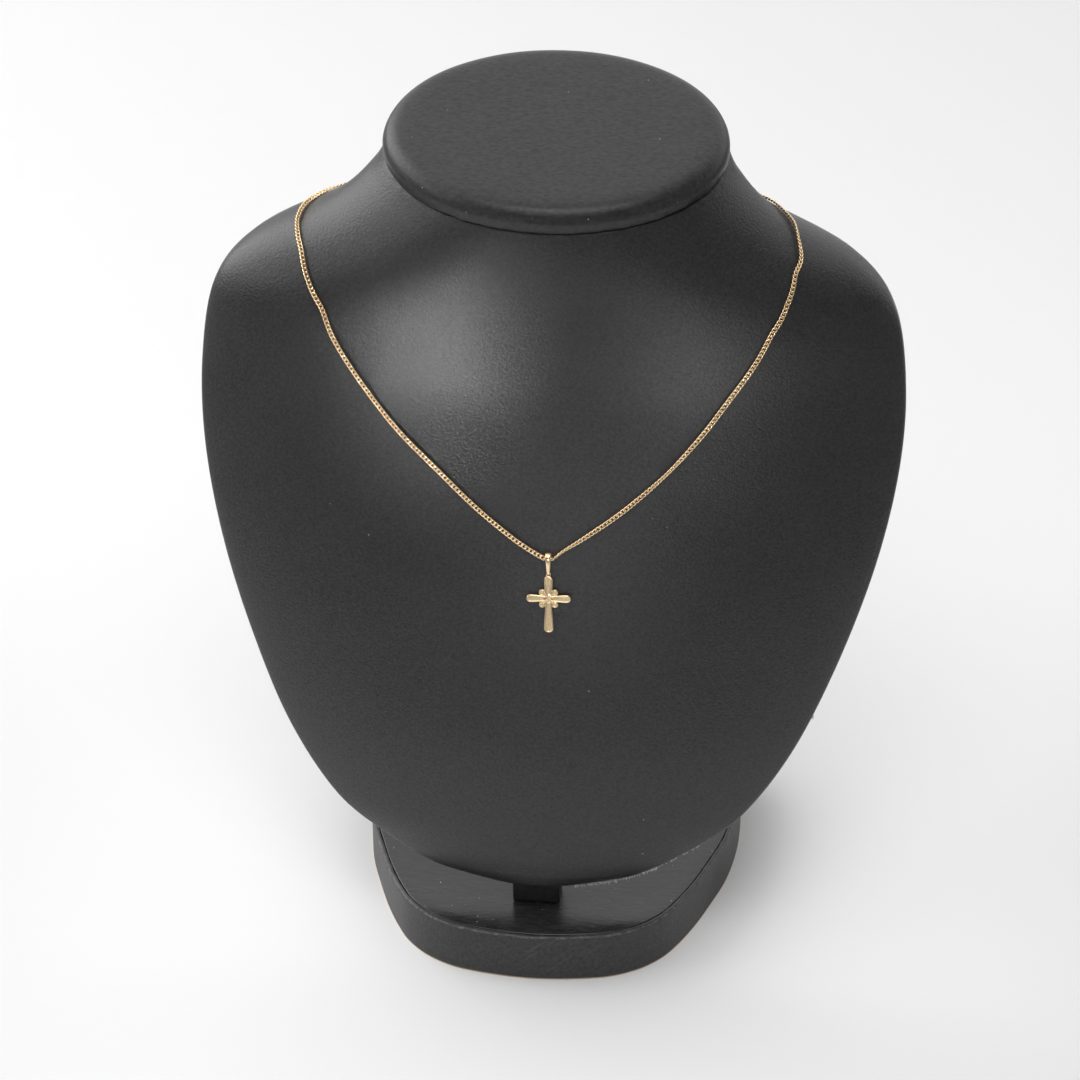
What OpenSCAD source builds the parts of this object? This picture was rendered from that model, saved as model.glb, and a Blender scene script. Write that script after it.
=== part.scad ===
// Cross necklace lying on a neck bust, in millimetres.
// +Z up, the chest faces -Y, +X to the right seen from the front.
// The origin is the middle of the box of the whole thing, on the table.

/* [Chest form] */
// Widest width of the chest
chest_w = 189; // [180:1:198]
// Backward lean of the chest from upright, degrees
chest_lean = 20; // [18:1:22]
// Height of the lowest edge of the chest above the table
chest_foot = 23.5; // [22.5:0.5:24.5]
// Thickness of the chest at its side edges
edge_t = 3; // [2:0.5:6]
// Thickness of the board that closes the back
board_t = 2.5; // [1.5:0.5:4]

/* [Neck cap] */
// Height of the padded cap over its seam
cap_h = 7.9; // [5:0.1:9]
// Width of the seam under the cap
cap_seam = 0.3; // [0.2:0.1:0.6]

/* [Base] */
// Height of the base block
base_h = 15; // [13:0.5:15.5]
// Width of the rim round the top panel
rim_w = 1.2; // [0.8:0.1:2]
// Thickness of the top panel
panel_t = 3; // [2:0.5:5]
// Width of the post between base and chest
post_w = 13; // [10:0.5:20]

/* [Chain] */
// Width of the flat curb chain
chain_w = 1.5; // [1.2:0.1:1.6]
// Diameter of the round clasp at the back
clasp_d = 6; // [5:0.5:7]

/* [Cross] */
// Thickness of the cross
cross_t = 1.2; // [0.9:0.1:1.3]
// Length of each side arm
side_arm = 5.95; // [5:0.05:7]
// Length of the bottom arm
bottom_arm = 9.55; // [8:0.05:11]
// Radius of the four curls between the arms
curl_r = 0.9; // [0.7:0.05:1.05]
// Depth of the sunken field inside the rim of each arm
field_depth = 0.3; // [0.15:0.05:0.45]

/* [Hidden] */

leather = "#2b2b2d";
gold = "#e9cf95";
gap = 0.2;
tip_y = -43;

// Cross-sections of the chest and neck, bottom to top.
// height: of the section's middle; shift: back from the line of the lean;
// tip: tilt of the section, degrees; half: share of half the chest width;
// front, back: depth before and behind the middle; curve: 0.5 is an ellipse,
// 1 a flat arch; square: 2 is an ellipse, 6 a flat back with tight corners.
form = [
    // height, shift, tip, half, front, back, curve, square
    [chest_foot, 0, chest_lean, 0.106, 3, edge_t, 1, 4],
    [25.5, 0, chest_lean, 0.212, 4.5, edge_t, 1, 5],
    [28, 0, chest_lean, 0.307, 6, edge_t, 1, 6],
    [34, 0, chest_lean, 0.43, 9, edge_t, 0.95, 8],
    [44.5, 0, chest_lean, 0.587, 12.5, edge_t, 0.9, 8],
    [63, 0, chest_lean, 0.73, 16.5, edge_t, 0.85, 8],
    [87, 0, chest_lean, 0.847, 19, edge_t, 0.8, 8],
    [112, 0, chest_lean, 0.937, 21, edge_t, 0.8, 8],
    [135.5, 0, chest_lean, 0.989, 21.5, edge_t, 0.8, 8],
    [158, -0.5, 14, 1, 22, 9, 0.75, 4],
    [179.1, -2.9, 3, 0.963, 23.8, 20, 0.65, 2.8],
    [190.2, -3, -5, 0.862, 27, 26.5, 0.55, 2.3],
    [201.6, -6.7, -9, 0.64, 27.3, 26, 0.5, 2],
    [210.7, -7.4, -11, 0.525, 29.7, 29, 0.5, 2],
    [217, -6, -12, 0.476, 33, 35, 0.5, 2]
];
last_row = len(form) - 1;
form_steps = 4;
form_sides = 56;

// Smooth curve between p1 and p2, with p0 and p3 as their neighbours.
function spline(p0, p1, p2, p3, t) =
    0.5 * (2 * p1 + (p2 - p0) * t
        + (2 * p0 - 5 * p1 + 4 * p2 - p3) * t * t
        + (3 * p1 - p0 - 3 * p2 + p3) * t * t * t);

// Row u of a table, where u may fall between two rows.
function open_row(table, u) =
    let (n = len(table) - 1,
         i = max(0, min(floor(u), n - 1)),
         p1 = table[i],
         p2 = table[i + 1],
         p0 = i == 0 ? 2 * p1 - p2 : table[i - 1],
         p3 = i == n - 1 ? 2 * p2 - p1 : table[i + 2])
    spline(p0, p1, p2, p3, u - i);

// The same on a closed table, whose end runs on to its start.
function closed_row(table, u) =
    let (n = len(table), i = floor(u))
    spline(table[(i + n - 1) % n], table[i % n], table[(i + 1) % n], table[(i + 2) % n], u - i);

function power(v, p) = sign(v) * pow(abs(v), p);

// A point on the leather: u is the row of the form, a the angle round it,
// 0 at the right, 90 at the back, 180 at the left and 270 in front.
function form_point(u, a) =
    let (r = open_row(form, u),
         half = r[3] * chest_w / 2,
         behind = sin(a) >= 0,
         across = behind ? half * power(cos(a), 2 / r[7]) : half * cos(a),
         depth = behind ? r[5] * power(sin(a), 2 / r[7]) : -r[4] * pow(sin(a) * sin(a), r[6]),
         y = tip_y + (r[0] - chest_foot) * tan(chest_lean) + r[1])
    [across, y + depth * cos(r[2]), r[0] - depth * sin(r[2])];

function unit(v) = v / norm(v);

// The direction straight out of the leather at u, a.
function form_normal(u, a) =
    unit(cross(form_point(u, a + 1) - form_point(u, a - 1),
               form_point(u + 0.05, a) - form_point(u - 0.05, a)));

// A closed skin over rings of points that all have the same count.
module skin(rings) {
    n = len(rings[0]);
    m = len(rings);
    polyhedron(
        points = [for (ring = rings) each ring],
        faces = [
            [for (i = [0 : n - 1]) i],
            for (k = [0 : m - 2], i = [0 : n - 1])
                let (j = (i + 1) % n)
                each [[k * n + i, (k + 1) * n + i, (k + 1) * n + j],
                      [k * n + i, (k + 1) * n + j, k * n + j]],
            [for (i = [n - 1 : -1 : 0]) (m - 1) * n + i]
        ]);
}

// Soft black chest and neck, padded over a flat board at the back.
module chest_form() {
    color(leather)
        skin([for (k = [0 : last_row * form_steps])
            [for (i = [0 : form_sides - 1])
                form_point(k / form_steps, 360 * i / form_sides)]]);
}

// Edge of the cap: how far out of the neck's outline, and how high over it.
cap_edge = [
    // out, up
    [-0.6, cap_seam],
    [0.3, cap_seam + 0.5],
    [0.6, 0.3 * cap_h],
    [0.4, 0.53 * cap_h],
    [-0.7, 0.77 * cap_h],
    [-2.7, 0.93 * cap_h],
    [-6, 0.99 * cap_h],
    [-12, cap_h]
];

// Padded oval cap on the neck, with a rolled edge over its seam.
module neck_cap() {
    top = form[last_row];
    middle = (form_point(last_row, 90) + form_point(last_row, 270)) / 2;
    upright = [0, sin(top[2]), cos(top[2])];
    color(leather)
        skin([for (e = cap_edge)
            [for (i = [0 : form_sides - 1])
                let (p = form_point(last_row, 360 * i / form_sides))
                p + unit(p - middle) * e[0] + upright * e[1]]]);
}

// A point beside the board: along is up the lean, back is straight out of it.
function lean_point(along, back) =
    [tip_y + along * sin(chest_lean) + back * cos(chest_lean),
     chest_foot + along * cos(chest_lean) - back * sin(chest_lean)];

board_inset = 0.3;
board_low_row = 1.2;
board_top_row = 7.8;
board_steps = 14;

// Flat board that closes the back of the chest.
module back_board() {
    side = [for (k = [0 : board_steps])
        let (u = board_low_row + (board_top_row - board_low_row) * k / board_steps,
             r = open_row(form, u))
        [r[3] * chest_w / 2 - board_inset, (r[0] - chest_foot) / cos(chest_lean)]];
    other = [for (k = [board_steps : -1 : 0]) [-side[k][0], side[k][1]]];
    color(leather)
        translate([0, tip_y, chest_foot])
            rotate([90 - chest_lean, 0, 0])
                translate([0, 0, -edge_t - gap - board_t])
                    linear_extrude(board_t)
                        polygon(concat(side, other));
}

// Right half of the base seen from above, front middle to back middle.
base_half = [
    // x, y
    [18, -54], [28, -50], [35, -44], [39.5, -37], [43.5, -28.5], [47, -19],
    [50.5, -8], [52.5, 4], [53, 16], [52, 30], [48, 42], [39, 49], [25, 51]
];
base_front = [0, -56];
base_back = [0, 51];
base_steps = 4;
base_loop = concat([base_front], base_half, [base_back],
    [for (k = [len(base_half) - 1 : -1 : 0]) [-base_half[k][0], base_half[k][1]]]);

function base_point(u) = closed_row(base_loop, u);

// The base's outline, moved in by the given amount.
function base_outline(inset) =
    [for (k = [0 : len(base_loop) * base_steps - 1])
        let (u = k / base_steps,
             d = unit(base_point(u + 0.1) - base_point(u + len(base_loop) - 0.1)))
        base_point(u) + inset * [-d[1], d[0]]];

// Solid black base with a pocket for its top panel.
module base_block() {
    color("#222224")
        difference() {
            linear_extrude(base_h)
                polygon(base_outline(0));
            translate([0, 0, base_h - panel_t - gap])
                linear_extrude(panel_t + gap + 1)
                    polygon(base_outline(rim_w));
        }
}

// Satin top panel let into the base, flush with its rim.
module base_top() {
    color("#3a3a3d")
        translate([0, 0, base_h - panel_t])
            linear_extrude(panel_t)
                polygon(base_outline(rim_w + gap));
}

post_front = tip_y + 1.5;
post_t = 5;
post_up = 70;
board_face = edge_t + gap + board_t;

// Post under the chest's foot, with a tongue up the board behind it.
module post() {
    heel = lean_point(-gap, board_face + gap);
    heel_back = lean_point(0, board_face + gap + post_t);
    foot_z = base_h + gap / 2;
    under_chest = lean_point(-gap, (post_front - tip_y) / cos(chest_lean));
    color("#1c1c1e")
        translate([-post_w / 2, 0, 0])
            rotate([90, 0, 90])
                linear_extrude(post_w)
                    polygon([
                        [post_front, foot_z],
                        [post_front, under_chest[1] - gap / 2],
                        heel,
                        lean_point(post_up, board_face + gap),
                        lean_point(post_up, board_face + gap + post_t),
                        heel_back,
                        [heel_back[0], foot_z]
                    ]);
}

// The chain's way over the leather, as a row of the form, an angle round it
// and a lift off it, from the clasp round the right side to the clasp again.
clasp_row = 11.7;
rest_lift = chain_w / 2 + 0.15;
nape_lift = chain_w / 2 + 0.25;
bail_lift = 1.5;
near_bail_lift = rest_lift + 0.2;
chain_route = [
    // row, angle, lift
    [clasp_row, 85.4, nape_lift],
    [11.7, 74, nape_lift],
    [11.74, 56, nape_lift],
    [11.82, 36, nape_lift],
    [11.93, 19, rest_lift],
    [11.87, 6, rest_lift],
    [11.79, -6, rest_lift],
    [11.6, -18.5, rest_lift],
    [11.4, -29.5, rest_lift],
    [10.95, -40.5, rest_lift],
    [10.24, -48, rest_lift],
    [9.62, -53.5, rest_lift],
    [9.08, -59, rest_lift],
    [8.58, -64, rest_lift],
    [8.12, -69.5, rest_lift],
    [7.7, -76, rest_lift],
    [7.4, -82, rest_lift],
    [7.24, -85.7, near_bail_lift],
    [7.165, -87.2, bail_lift],
    [7.155, -88.1, bail_lift],
    [7.165, -89, bail_lift],
    [7.24, -91.5, near_bail_lift],
    [7.38, -95, rest_lift],
    [7.68, -101, rest_lift],
    [8.08, -107.5, rest_lift],
    [8.5, -114, rest_lift],
    [9.04, -120.5, rest_lift],
    [9.66, -127, rest_lift],
    [10.29, -132, rest_lift],
    [10.96, -140, rest_lift],
    [11.37, -151, rest_lift],
    [11.57, -164, rest_lift],
    [11.65, -178, rest_lift],
    [11.67, -190, rest_lift],
    [11.66, -201, rest_lift],
    [11.6, -226, nape_lift],
    [11.64, -247, nape_lift],
    [clasp_row, -265.4, nape_lift]
];
chain_steps = 2;
chain_sides = 8;

function chain_point(u) =
    let (r = open_row(chain_route, u))
    form_point(r[0], r[1]) + form_normal(r[0], r[1]) * r[2];

// Ring of points round the chain at u on its route.
function chain_ring(u) =
    let (r = open_row(chain_route, u),
         along = unit(chain_point(u + 0.05) - chain_point(u - 0.05)),
         side = unit(cross(along, form_normal(r[0], r[1]))),
         out = cross(side, along))
    [for (i = [0 : chain_sides - 1])
        let (a = 360 * (i + 0.5) / chain_sides)
        chain_point(u) + chain_w / 2 * (cos(a) * side + sin(a) * out)];

// Fine curb chain, one tube along its whole way round the neck.
module chain() {
    ends = len(chain_route) - 1;
    color(gold)
        skin([for (k = [0 : ends * chain_steps]) chain_ring(k / chain_steps)]);
}

clasp_wire = 1.1;
clasp_lift = clasp_wire / 2 + 0.7;
eye_d = 2.4;
eye_wire = 0.6;
eye_sunk = 0.45;

// A flat ring: a round plate with a round hole.
module flat_ring(outer, band, thick) {
    difference() {
        cylinder(d = outer, h = thick, center = true, $fn = 64);
        cylinder(d = outer - 2 * band, h = thick + 1, center = true, $fn = 64);
    }
}

// Plain round clasp with a small eye on each side, behind the neck.
module clasp() {
    p = form_point(clasp_row, 90);
    n = form_normal(clasp_row, 90);
    eye_x = (clasp_d + eye_d) / 2 - eye_sunk;
    color(gold)
        translate(p + n * clasp_lift)
            rotate([-atan2(n[1], n[2]), 0, 0]) {
                flat_ring(clasp_d, clasp_wire, clasp_wire);
                for (s = [-1, 1])
                    translate([s * eye_x, 0, 0])
                        flat_ring(eye_d, eye_wire, eye_wire);
            }
}

// The pendant's own frame: x across, y up the chest, z out of the leather, with
// its origin on the leather behind the middle of the cross. The pendant hangs
// from a point hang_height up the chest, turned a little about it.
pendant_row = 6.735;
pendant_angle = -88.1;
bail_row = 7.17;
hang_height = 12.6;
hang_turn = 1.7;

module on_chest() {
    low = form_point(pendant_row, pendant_angle);
    high = form_point(bail_row, pendant_angle);
    slope = atan2(high[2] - low[2], high[1] - low[1]);
    translate(low)
        rotate([slope, 0, 0])
            translate([0, hang_height, 0])
                rotate([0, 0, hang_turn])
                    translate([0, -hang_height, 0])
                        children();
}

// The bail's bent strap seen from the side, along its middle.
strap_t = 0.4;
bail_loop = [
    // up the chest, out of the leather
    [6.63, 1.22], [6.93, 1.86], [7.85, 2.35], [9.65, 2.8], [11.45, 2.95], [12.5, 2.4],
    [12.75, 1.6], [12.4, 0.8], [11.15, 0.34], [9.25, 0.33], [7.75, 0.36], [6.93, 0.58]
];
// The bail seen from the front: where up the chest, and its width there.
bail_width = [
    // up, width
    [5.65, 0.5], [6.85, 0.54], [7.85, 0.82], [9.65, 1.0], [11.25, 1.2], [12.25, 1.35],
    [13.25, 1.3]
];
bail_steps = 5;
bail_room = 5;

// The loop of the strap moved out by the given amount.
function bail_side(out) =
    [for (k = [0 : len(bail_loop) * bail_steps - 1])
        let (u = k / bail_steps,
             n = len(bail_loop),
             d = unit(closed_row(bail_loop, u + 0.1) - closed_row(bail_loop, u + n - 0.1)))
        closed_row(bail_loop, u) + out * [-d[1], d[0]]];

// Tapered strap loop that the chain runs through: its side view cut to its front view.
module bail() {
    color(gold)
        on_chest()
            intersection() {
                translate([-bail_room / 2, 0, 0])
                    rotate([90, 0, 90])
                        linear_extrude(bail_room)
                            difference() {
                                polygon(bail_side(strap_t / 2));
                                polygon(bail_side(-strap_t / 2));
                            }
                linear_extrude(bail_room)
                    polygon(concat(
                        [for (w = bail_width) [w[1] / 2, w[0]]],
                        [for (k = [len(bail_width) - 1 : -1 : 0])
                            [-bail_width[k][1] / 2, bail_width[k][0]]]));
            }
}

// The four arms: which way they point, length, half width near the middle
// and half width near the end.
cross_arms = [
    // turn, length, inner, outer
    [0, 6.35, 0.92, 1.15],
    [90, side_arm, 0.78, 1.1],
    [180, bottom_arm, 0.82, 1.27],
    [270, side_arm, 0.78, 1.1]
];
cross_rim = 0.3;
field_start = 0.9;
curl_place = 1.68;
curl_low = 0.1;
curl_pit = 0.25;
curl_pit_r = 0.4 * curl_r;
cross_lift = 0.4;
cross_rise = 1.8;
lug_r = 0.68;
lug_t = 0.6;
lug_place = 6.7;
eye_hole = 0.84;
end_steps = 12;

// Outline of one arm pointing up: it widens slowly, then fast, to a round end.
function arm_outline(length, inner, outer) =
    let (centre = length - outer, waist = inner + 0.25 * (outer - inner), up = 0.45 * centre)
    concat(
        [[inner, 0], [waist, up]],
        [for (k = [0 : end_steps])
            let (a = 180 * k / end_steps)
            [outer * cos(a), centre + outer * sin(a)]],
        [[-waist, up], [-inner, 0]]);

// One cast cross: rimmed arms with sunken fields, a curl in each corner and a
// pierced lug on the top arm, which the bail runs through.
module cross_body() {
    difference() {
        union() {
            for (arm = cross_arms)
                rotate([0, 0, arm[0]])
                    linear_extrude(cross_t)
                        polygon(arm_outline(arm[1], arm[2], arm[3]));
            for (x = [-1, 1], y = [-1, 1])
                translate([x * curl_place, y * curl_place, 0])
                    cylinder(r = curl_r, h = cross_t - curl_low, $fn = 32);
            translate([0, lug_place, (cross_t - lug_t) / 2])
                cylinder(r = lug_r, h = lug_t, $fn = 32);
        }
        for (arm = cross_arms)
            rotate([0, 0, arm[0]])
                translate([0, field_start, cross_t - field_depth])
                    linear_extrude(1)
                        polygon(arm_outline(arm[1] - field_start - cross_rim,
                                            arm[2] - cross_rim, arm[3] - cross_rim));
        translate([0, lug_place, -1])
            cylinder(d = eye_hole, h = cross_t + 2, $fn = 32);
        for (x = [-1, 1], y = [-1, 1])
            translate([x * curl_place, y * curl_place, cross_t - curl_low - curl_pit])
                cylinder(r = curl_pit_r, h = 1, $fn = 32);
    }
}

module cross() {
    color(gold)
        on_chest()
            translate([0, 0, cross_lift])
                rotate([cross_rise, 0, 0])
                    cross_body();
}

chest_form();
neck_cap();
back_board();
base_block();
base_top();
post();
chain();
clasp();
bail();
cross();
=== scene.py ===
"""A cross necklace lying on a black neck bust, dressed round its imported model.

Shapes are worked out in millimetres on grids of two parameters and stored in metres, in the
model's own frame: the chest faces -Y, +X is to the right seen from the front and +Z is up.
"""

import math

import bpy
import numpy as np
from mathutils import Matrix


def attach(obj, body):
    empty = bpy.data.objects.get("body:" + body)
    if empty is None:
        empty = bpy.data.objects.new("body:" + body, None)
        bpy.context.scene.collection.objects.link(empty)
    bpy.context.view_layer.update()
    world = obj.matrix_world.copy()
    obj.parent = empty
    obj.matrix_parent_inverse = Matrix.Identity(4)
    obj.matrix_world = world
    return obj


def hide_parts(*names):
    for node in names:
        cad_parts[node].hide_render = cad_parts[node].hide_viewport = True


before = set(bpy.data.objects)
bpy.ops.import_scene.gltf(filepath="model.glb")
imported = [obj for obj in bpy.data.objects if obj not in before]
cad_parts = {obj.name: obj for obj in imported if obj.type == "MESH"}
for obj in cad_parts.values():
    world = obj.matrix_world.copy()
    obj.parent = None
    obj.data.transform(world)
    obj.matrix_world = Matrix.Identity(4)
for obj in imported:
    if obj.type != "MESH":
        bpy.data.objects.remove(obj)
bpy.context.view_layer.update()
MM = 0.001
TURN = 2 * math.pi
BODY = "root"

# The camera

AIM = (-6.0, 28.6, 89.1)  # what the middle of the picture looks at
CAMERA_TURN = 6.5  # degrees to the right of the front
CAMERA_RISE = 34.0
CAMERA_ROLL = 0.5
CAMERA_AWAY = 1125.0
LENS = 133.3
CLIP = (0.05, 50.0)  # metres


def put_in_scene(name, data, right=(1, 0, 0), up=(0, 1, 0), back=(0, 0, 1), place=(0, 0, 0)):
    """A new object with its own axes, at a place in metres."""
    thing = bpy.data.objects.new(name, data)
    axes = [[right[i], up[i], back[i], place[i]] for i in range(3)]
    thing.matrix_world = Matrix(axes + [[0, 0, 0, 1]])
    bpy.context.scene.collection.objects.link(thing)
    return thing


def make_camera():
    """A long lens at the photograph's angle, as far away as its perspective asks for."""
    turn, rise, roll = np.radians([CAMERA_TURN, CAMERA_RISE, CAMERA_ROLL])
    level = np.array([math.cos(turn), math.sin(turn), 0.0])
    nearer = np.array([math.sin(turn), -math.cos(turn), 0.0])
    back = math.cos(rise) * nearer + np.array([0, 0, math.sin(rise)])
    above = np.cross(back, level)
    right = math.cos(roll) * level - math.sin(roll) * above
    up = math.cos(roll) * above + math.sin(roll) * level
    place = (np.array(AIM) + CAMERA_AWAY * back) * MM
    data = bpy.data.cameras.new("camera")
    data.lens = LENS
    data.clip_start, data.clip_end = CLIP
    bpy.context.scene.camera = put_in_scene("camera", data, right, up, back, place)


make_camera()

# Working on curves and rings of points


def unit(v):
    """Vectors made one long."""
    return v / np.maximum(np.linalg.norm(v, axis=-1, keepdims=True), 1e-12)


def smoothstep(low, high, x):
    """0 below low, 1 above high, and a smooth cubic between them."""
    t = np.clip((x - low) / (high - low), 0, 1)
    return t * t * (3 - 2 * t)


def bell(x, wide):
    """1 at 0, falling off on both sides as a Gaussian."""
    return np.exp(-((x / wide) ** 2))


def signed_power(x, power):
    """The size of x raised to a power, with the sign of x."""
    return np.sign(x) * np.abs(x) ** power


def circle(count):
    """Even steps round a circle, in radians."""
    return np.arange(count) * TURN / count


def round_drop(to_edge, radius):
    """How far a rounded edge lies below the flat beside it."""
    inside = np.clip(radius - to_edge, 0, radius)
    return radius - np.sqrt(radius**2 - inside**2)


def spin(angle):
    """The turn about the third axis, for points as rows."""
    c, s = math.cos(angle), math.sin(angle)
    return np.array([[c, s, 0], [-s, c, 0], [0, 0, 1]])


def tilt(angle):
    """The turn about the first axis, for points as rows."""
    c, s = math.cos(angle), math.sin(angle)
    return np.array([[1, 0, 0], [0, c, s], [0, -s, c]])


def catmull(p0, p1, p2, p3, t):
    """The cubic from p1 to p2 whose slopes follow the neighbours p0 and p3."""
    return 0.5 * (
        2 * p1
        + (p2 - p0) * t
        + (2 * p0 - 5 * p1 + 4 * p2 - p3) * t**2
        + (3 * p1 - p0 - 3 * p2 + p3) * t**3
    )


def spline(table, u):
    """Row u of a table, between rows on a Catmull-Rom curve, its ends carried on straight."""
    table = np.asarray(table, float)
    u = np.asarray(u, float)
    row = np.clip(np.floor(u).astype(int), 0, len(table) - 2)
    longer = np.vstack([2 * table[0] - table[1], table, 2 * table[-1] - table[-2]])
    return catmull(*(longer[row + k] for k in range(4)), (u - row)[..., None])


def closed_spline(table, u):
    """The same on a table whose last row runs on to its first."""
    table = np.asarray(table, float)
    u = np.asarray(u, float)
    row = np.floor(u).astype(int)
    return catmull(*(table[(row + k) % len(table)] for k in (-1, 0, 1, 2)), (u - row)[..., None])


def lengths_along(rings):
    """How far along its closed ring each point lies, with the whole length as one more column."""
    step = np.linalg.norm(np.roll(rings, -1, axis=1) - rings, axis=2)
    return np.concatenate([np.zeros((len(rings), 1)), np.cumsum(step, axis=1)], axis=1)


def pick_along(rings, along, places):
    """Points at given lengths along closed rings, straight between the rings' own points."""
    whole = np.concatenate([rings, rings[:, :1]], axis=1)
    each = zip(places, along, whole)
    return np.stack([np.column_stack([np.interp(w, s, a) for a in ring.T]) for w, s, ring in each])


def grid_normals(rings):
    """Unit normals of a grid of closed rings, from the cross product of its two directions."""
    round_it = np.roll(rings, -1, axis=1) - np.roll(rings, 1, axis=1)
    return unit(np.cross(round_it, np.gradient(rings, axis=0)))


def ripple(points, seed, size, count=9):
    """Smooth unevenness, mostly from -1 to 1: the mean of sine waves in random directions, each
    0.6 to 1.6 times as fine as the given size, raised to make up for what they cancel."""
    rng = np.random.default_rng(seed)
    ways = unit(rng.normal(size=(count, 3))) * rng.uniform(0.6, 1.6, (count, 1)) * TURN / size
    phases = rng.uniform(0, TURN, count)
    return np.sin(points @ ways.T + phases).mean(axis=-1) * 1.8


# Making meshes


def make_piece(name, points, quads, triangles, slot, replaces=(), masks=None):
    """One mesh from points in millimetres, with its faces turned outwards. The masks that its
    material reads have a value for each of the first points, and 0 for the rest."""
    points = np.asarray(points, float)
    quads = np.asarray(quads, int).reshape(-1, 4)
    triangles = np.asarray(triangles, int).reshape(-1, 3)
    halves = np.vstack([quads[:, :3], quads[:, [0, 2, 3]], triangles])
    a, b, c = (points[halves[:, k]] for k in range(3))
    if np.einsum("ij,ij->i", a, np.cross(b, c)).sum() < 0:
        quads, triangles = quads[:, ::-1], triangles[:, ::-1]
    mesh = bpy.data.meshes.new(name)
    mesh.from_pydata((points * MM).tolist(), [], quads.tolist() + triangles.tolist())
    mesh.polygons.foreach_set("use_smooth", np.ones(len(mesh.polygons), bool))
    for key, values in (masks or {}).items():
        mask = np.zeros(len(points), np.float32)
        mask[: values.size] = values.ravel()
        mesh.attributes.new(key, "FLOAT", "POINT").data.foreach_set("value", mask)
    mesh.update()
    piece = put_in_scene(name, mesh)
    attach(piece, BODY)
    if replaces:
        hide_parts(*replaces)
    return piece


def ring_faces(rows, columns, closed_rows=False, first=0):
    """Quads over a grid that is closed along its columns, and along its rows too if asked for."""
    k = np.arange(rows if closed_rows else rows - 1)[:, None]
    i = np.arange(columns)[None, :]
    below, above, after = k * columns, (k + 1) % rows * columns, (i + 1) % columns
    quads = np.stack([below + i, below + after, above + after, above + i], axis=-1)
    return first + quads.reshape(-1, 4)


def end_fan(row, columns, pole, first=0):
    """Triangles from one ring of a grid to a single point."""
    i = np.arange(columns)
    start = first + row * columns
    return np.stack([start + (i + 1) % columns, start + i, np.full(columns, pole)], -1)


def closed_tube(rings, first=0):
    """A grid of rings with a point in the middle of each end: its points, quads and triangles."""
    rows, columns = rings.shape[:2]
    points = np.vstack([rings.reshape(-1, 3), rings[0].mean(0), rings[-1].mean(0)])
    pole = first + rows * columns
    low, high = end_fan(0, columns, pole, first), end_fan(rows - 1, columns, pole + 1, first)
    return points, ring_faces(rows, columns, first=first), np.vstack([low, high[:, ::-1]])


def join_tubes(grids):
    """Several closed tubes as the points, quads and triangles of one mesh."""
    firsts = np.cumsum([0] + [grid[..., 0].size + 2 for grid in grids[:-1]])
    return [np.vstack(part) for part in zip(*map(closed_tube, grids, firsts))]


def join_rings(grids, first=0):
    """Several grids that are closed both ways as the points and quads of one mesh."""
    firsts = first + np.cumsum([0] + [grid[..., 0].size for grid in grids[:-1]])
    quads = [ring_faces(*grid.shape[:2], True, start) for grid, start in zip(grids, firsts)]
    return np.vstack([grid.reshape(-1, 3) for grid in grids]), np.vstack(quads)


def swept(reach, height, turn, x=0.0, y=0.0):
    """Points at a reach and a height all the way round a middle."""
    return np.stack([x + reach * np.cos(turn), y + reach * np.sin(turn), height + 0 * turn], -1)


def drawn_in(ring, scales):
    """Rings that shrink from a given ring towards its middle, so that a flat end has small
    faces."""
    middle = ring.mean(0)
    return [middle + (ring - middle) * scale for scale in scales]


def capped(rings, low, high):
    """Rings with their flat ends filled in: for each end how many smaller rings, and how far in."""
    low, high = (1 - amount * np.arange(1, n + 1) / (n + 1) for n, amount in (low, high))
    return np.concatenate([drawn_in(rings[0], low)[::-1], rings, drawn_in(rings[-1], high)])


# The leather form of the chest and neck

CHEST_HALF = 94.5
LEAN = math.radians(20.0)
UP_LEAN = np.array([0, math.sin(LEAN), math.cos(LEAN)])
OUT_LEAN = np.array([0, math.cos(LEAN), -math.sin(LEAN)])
CHEST_FOOT = 23.5
TIP_Y = -43.0
CHEST_TIP = np.array([0, TIP_Y, CHEST_FOOT])
FORM = [
    # height, shift, tip, half, front, back, curve, square
    [23.5, 0, 20, 0.106, 3, 3, 1, 4],
    [25.5, 0, 20, 0.212, 4.5, 3, 1, 5],
    [28, 0, 20, 0.307, 6, 3, 1, 6],
    [34, 0, 20, 0.43, 9, 3, 0.95, 8],
    [44.5, 0, 20, 0.587, 12.5, 3, 0.9, 8],
    [63, 0, 20, 0.73, 16.5, 3, 0.85, 8],
    [87, 0, 20, 0.847, 19, 3, 0.8, 8],
    [112, 0, 20, 0.937, 21, 3, 0.8, 8],
    [135.5, 0, 20, 0.989, 21.5, 3, 0.8, 8],
    [158, -0.5, 14, 1, 22, 9, 0.75, 4],
    [179.1, -2.9, 3, 0.963, 23.8, 20, 0.65, 2.8],
    [190.2, -3, -5, 0.862, 27, 26.5, 0.55, 2.3],
    [201.6, -6.7, -9, 0.64, 27.3, 26, 0.5, 2],
    [210.7, -7.4, -11, 0.525, 29.7, 29, 0.5, 2],
    [217, -6, -12, 0.476, 33, 35, 0.5, 2],
]
HEIGHT, SHIFT, TIP, HALF, FRONT, BACK, CURVE, SQUARE = range(8)
NECK_ROW = len(FORM) - 1


def place_section(rows, flat):
    """Points given across and behind the middle of a section, put where the section is."""
    height = rows[..., HEIGHT]
    behind = TIP_Y + (height - CHEST_FOOT) * math.tan(LEAN) + rows[..., SHIFT]
    tip = np.radians(rows[..., TIP])
    depth = flat[..., 1]
    return np.stack([flat[..., 0], behind + depth * np.cos(tip), height - depth * np.sin(tip)], -1)


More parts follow.
